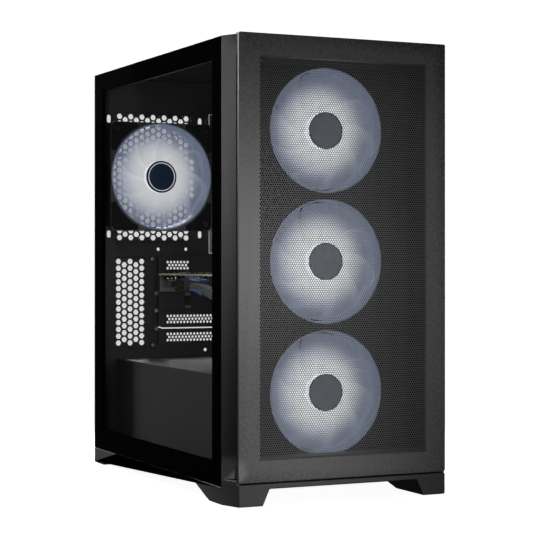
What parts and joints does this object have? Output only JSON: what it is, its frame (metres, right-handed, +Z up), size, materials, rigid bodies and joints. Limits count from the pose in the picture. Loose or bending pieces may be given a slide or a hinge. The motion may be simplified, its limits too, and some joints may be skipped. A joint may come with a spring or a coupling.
{
  "type": "desktop computer tower",
  "caption": "Mid-size computer tower with a perforated front plate over lit fans, a glass side panel, a plastic base on four feet, and its circuit boards, power supply and drives inside.",
  "frame": {"origin": "middle of the footprint, on the surface that the feet stand on", "axes": "+Z up, the front faces -Y, the glass panel is on the -X side, the thumbscrews end at +Y"},
  "size_m": [0.2302, 0.388, 0.4306],
  "materials": {
    "painted_steel": "fine-grained black powder coat",
    "black_plastic": "black, spark-eroded grain",
    "fan_frame_plastic": "smooth black",
    "lit_blade_plastic": "frosted translucent white, lit from the hub",
    "rubber_pad": "matt black",
    "tempered_glass": "lightly smoked, with a black printed border",
    "bare_steel": "zinc-plated",
    "circuit_board": "black solder mask",
    "aluminium_fins": "extruded, plain",
    "drive_casing": "cast, satin",
    "black_cable": "black insulation",
    "grey_sleeve": "braided grey sleeve",
    "port_plastic": "smooth black"
  },
  "bodies": {
    "chassis": {"base_frame": "black_plastic", "front_bezel": "black_plastic", "foot_pad_front_left": "rubber_pad", "foot_pad_front_right": "rubber_pad", "foot_pad_rear_left": "rubber_pad", "foot_pad_rear_right": "rubber_pad", "chassis_floor": "painted_steel", "rear_panel": "painted_steel", "motherboard_tray": "painted_steel", "top_panel": "painted_steel", "front_bulkhead": "painted_steel", "psu_shroud": "painted_steel", "front_fan_frame_upper": "fan_frame_plastic", "front_fan_frame_middle": "fan_frame_plastic", "front_fan_frame_lower": "fan_frame_plastic", "rear_fan_frame": "fan_frame_plastic", "cpu_fan_frame": "fan_frame_plastic", "motherboard": "circuit_board", "gpu_board": "circuit_board", "rear_io_block": "bare_steel", "gpu_bracket": "bare_steel", "memory_module_inner": "black_plastic", "memory_module_outer": "black_plastic", "gpu_cooler": "black_plastic", "chipset_heatsink": "aluminium_fins", "cpu_heatsink": "aluminium_fins", "gpu_power_plug": "black_cable", "main_power_cable": "black_cable", "gpu_power_cable": "grey_sleeve", "slot_cover_1": "painted_steel", "slot_cover_3": "painted_steel", "slot_cover_4": "painted_steel", "slot_cover_5": "painted_steel", "psu_housing": "painted_steel", "drive_cage": "painted_steel", "psu_inlet": "port_plastic", "top_io_module": "port_plastic", "solid_state_drive": "drive_casing"},
    "front_plate": {"front_plate": "painted_steel"},
    "glass_panel": {"glass_panel": "tempered_glass", "glass_rear_flange": "painted_steel", "glass_thumbscrew_upper": "black_plastic", "glass_thumbscrew_lower": "black_plastic"},
    "steel_side_panel": {"right_side_panel": "painted_steel", "side_thumbscrew_upper": "black_plastic", "side_thumbscrew_lower": "black_plastic"},
    "top_dust_filter": {"top_dust_filter": "black_plastic"},
    "psu_dust_filter": {"psu_dust_filter": "black_plastic"},
    "front_fan_rotor_upper": {"front_fan_rotor_upper": "lit_blade_plastic"},
    "front_fan_rotor_middle": {"front_fan_rotor_middle": "lit_blade_plastic"},
    "front_fan_rotor_lower": {"front_fan_rotor_lower": "lit_blade_plastic"},
    "rear_fan_rotor": {"rear_fan_rotor": "lit_blade_plastic"},
    "cpu_fan_rotor": {"cpu_fan_rotor": "fan_frame_plastic"},
    "gpu_fan_rotor": {"gpu_fan_rotor": "fan_frame_plastic"},
    "psu_fan_rotor": {"psu_fan_rotor": "fan_frame_plastic"},
    "power_button": {"power_button": "bare_steel"},
    "reset_button": {"reset_button": "bare_steel"},
    "psu_switch": {"psu_switch": "port_plastic"},
    "drive_sled": {"drive_sled": "port_plastic", "hard_drive": "drive_casing"}
  },
  "joints": [
    {"name": "front_plate_pull", "type": "slide", "parent": "chassis", "child": "front_plate", "axis": [0, -1, 0], "range_m": [0, 0.12]},
    {"name": "glass_panel_pull", "type": "slide", "parent": "chassis", "child": "glass_panel", "axis": [-1, 0, 0], "range_m": [0, 0.15]},
    {"name": "side_panel_slide", "type": "slide", "parent": "chassis", "child": "steel_side_panel", "axis": [0, 1, 0], "range_m": [0, 0.02]},
    {"name": "top_filter_lift", "type": "slide", "parent": "chassis", "child": "top_dust_filter", "axis": [0, 0, 1], "range_m": [0, 0.06]},
    {"name": "psu_filter_slide", "type": "slide", "parent": "chassis", "child": "psu_dust_filter", "axis": [0, 1, 0], "range_m": [0, 0.14]},
    {"name": "drive_sled_slide", "type": "slide", "parent": "chassis", "child": "drive_sled", "axis": [1, 0, 0], "range_m": [0, 0.03]},
    {"name": "front_fan_upper_spin", "type": "hinge", "parent": "chassis", "child": "front_fan_rotor_upper", "pos_m": [0, -0.145, 0.3475], "axis": [0, 1, 0], "continuous": true},
    {"name": "front_fan_middle_spin", "type": "hinge", "parent": "chassis", "child": "front_fan_rotor_middle", "pos_m": [0, -0.145, 0.223], "axis": [0, 1, 0], "continuous": true},
    {"name": "front_fan_lower_spin", "type": "hinge", "parent": "chassis", "child": "front_fan_rotor_lower", "pos_m": [0, -0.145, 0.0985], "axis": [0, 1, 0], "continuous": true},
    {"name": "rear_fan_spin", "type": "hinge", "parent": "chassis", "child": "rear_fan_rotor", "pos_m": [-0.04515, 0.17, 0.3174], "axis": [0, 1, 0], "continuous": true},
    {"name": "cpu_fan_spin", "type": "hinge", "parent": "chassis", "child": "cpu_fan_rotor", "pos_m": [0.018, 0.08, 0.337], "axis": [1, 0, 0], "continuous": true},
    {"name": "gpu_fan_spin", "type": "hinge", "parent": "chassis", "child": "gpu_fan_rotor", "pos_m": [0.008, 0.07, 0.196], "axis": [0, 0, 1], "continuous": true},
    {"name": "psu_fan_spin", "type": "hinge", "parent": "chassis", "child": "psu_fan_rotor", "pos_m": [-0.001, 0.114, 0.04], "axis": [0, 0, 1], "continuous": true},
    {"name": "power_button_press", "type": "slide", "parent": "chassis", "child": "power_button", "axis": [0, 0, -1], "range_m": [0, 0.001], "stiffness_N_per_m": 700, "springref_m": -0.002},
    {"name": "reset_button_press", "type": "slide", "parent": "chassis", "child": "reset_button", "axis": [0, 0, -1], "range_m": [0, 0.0007], "stiffness_N_per_m": 500, "springref_m": -0.001},
    {"name": "psu_switch_rock", "type": "hinge", "parent": "chassis", "child": "psu_switch", "pos_m": [-0.016, 0.1824, 0.07], "axis": [1, 0, 0], "range_deg": [0, 14]}
  ]
}
